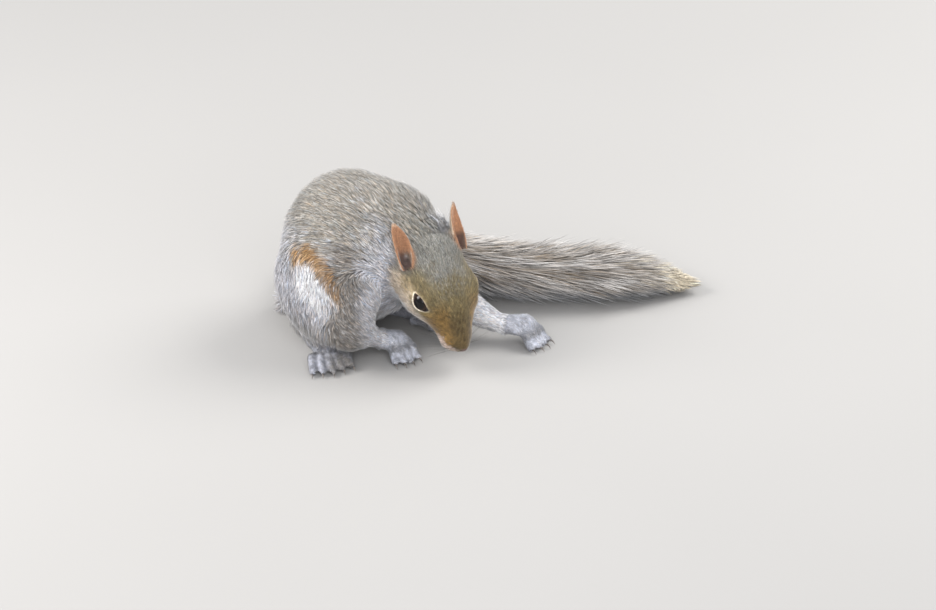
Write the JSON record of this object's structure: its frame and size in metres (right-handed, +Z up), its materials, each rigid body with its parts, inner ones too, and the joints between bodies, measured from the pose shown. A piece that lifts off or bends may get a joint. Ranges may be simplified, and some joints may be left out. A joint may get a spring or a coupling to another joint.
{
  "type": "grey squirrel",
  "caption": "Still life-size model of a grey squirrel hunched low over the ground, nose down, ears up, with its bushy tail laid round beside it.",
  "frame": {"origin": "on the floor, under the middle of the model's box", "axes": "+Z up, the animal faces -Y, its left side is +X"},
  "size_m": [0.2082, 0.1602, 0.088],
  "materials": {
    "coat_grey": "grizzled olive-grey fur",
    "coat_brow": "short ochre-olive fur",
    "coat_tail": "long streaked grey fur with a pale tip",
    "coat_paw": "very short pale grey fur",
    "ear_skin": "thin skin with down on it",
    "eye_dark": "wet gloss",
    "claw_horn": "horn"
  },
  "bodies": {
    "root": {"ear_left": "ear_skin", "ear_right": "ear_skin", "eye_left": "eye_dark", "eye_right": "eye_dark", "foreclaw_left_1": "claw_horn", "foreclaw_left_2": "claw_horn", "foreclaw_left_3": "claw_horn", "foreclaw_left_4": "claw_horn", "foreclaw_right_1": "claw_horn", "foreclaw_right_2": "claw_horn", "foreclaw_right_3": "claw_horn", "foreclaw_right_4": "claw_horn", "foreleg_left": "coat_grey", "foreleg_right": "coat_grey", "forepaw_left": "coat_paw", "forepaw_right": "coat_paw", "head": "coat_brow", "hindclaw_left_1": "claw_horn", "hindclaw_left_2": "claw_horn", "hindclaw_left_3": "claw_horn", "hindclaw_left_4": "claw_horn", "hindclaw_left_5": "claw_horn", "hindclaw_right_1": "claw_horn", "hindclaw_right_2": "claw_horn", "hindclaw_right_3": "claw_horn", "hindclaw_right_4": "claw_horn", "hindclaw_right_5": "claw_horn", "hindfoot_left": "coat_paw", "hindfoot_right": "coat_paw", "hindleg_left": "coat_grey", "hindleg_right": "coat_grey", "neck": "coat_grey", "tail_1": "coat_tail", "tail_2": "coat_tail", "tail_3": "coat_tail", "tail_4": "coat_tail", "tail_5": "coat_tail", "trunk": "coat_grey"}
  },
  "joints": []
}
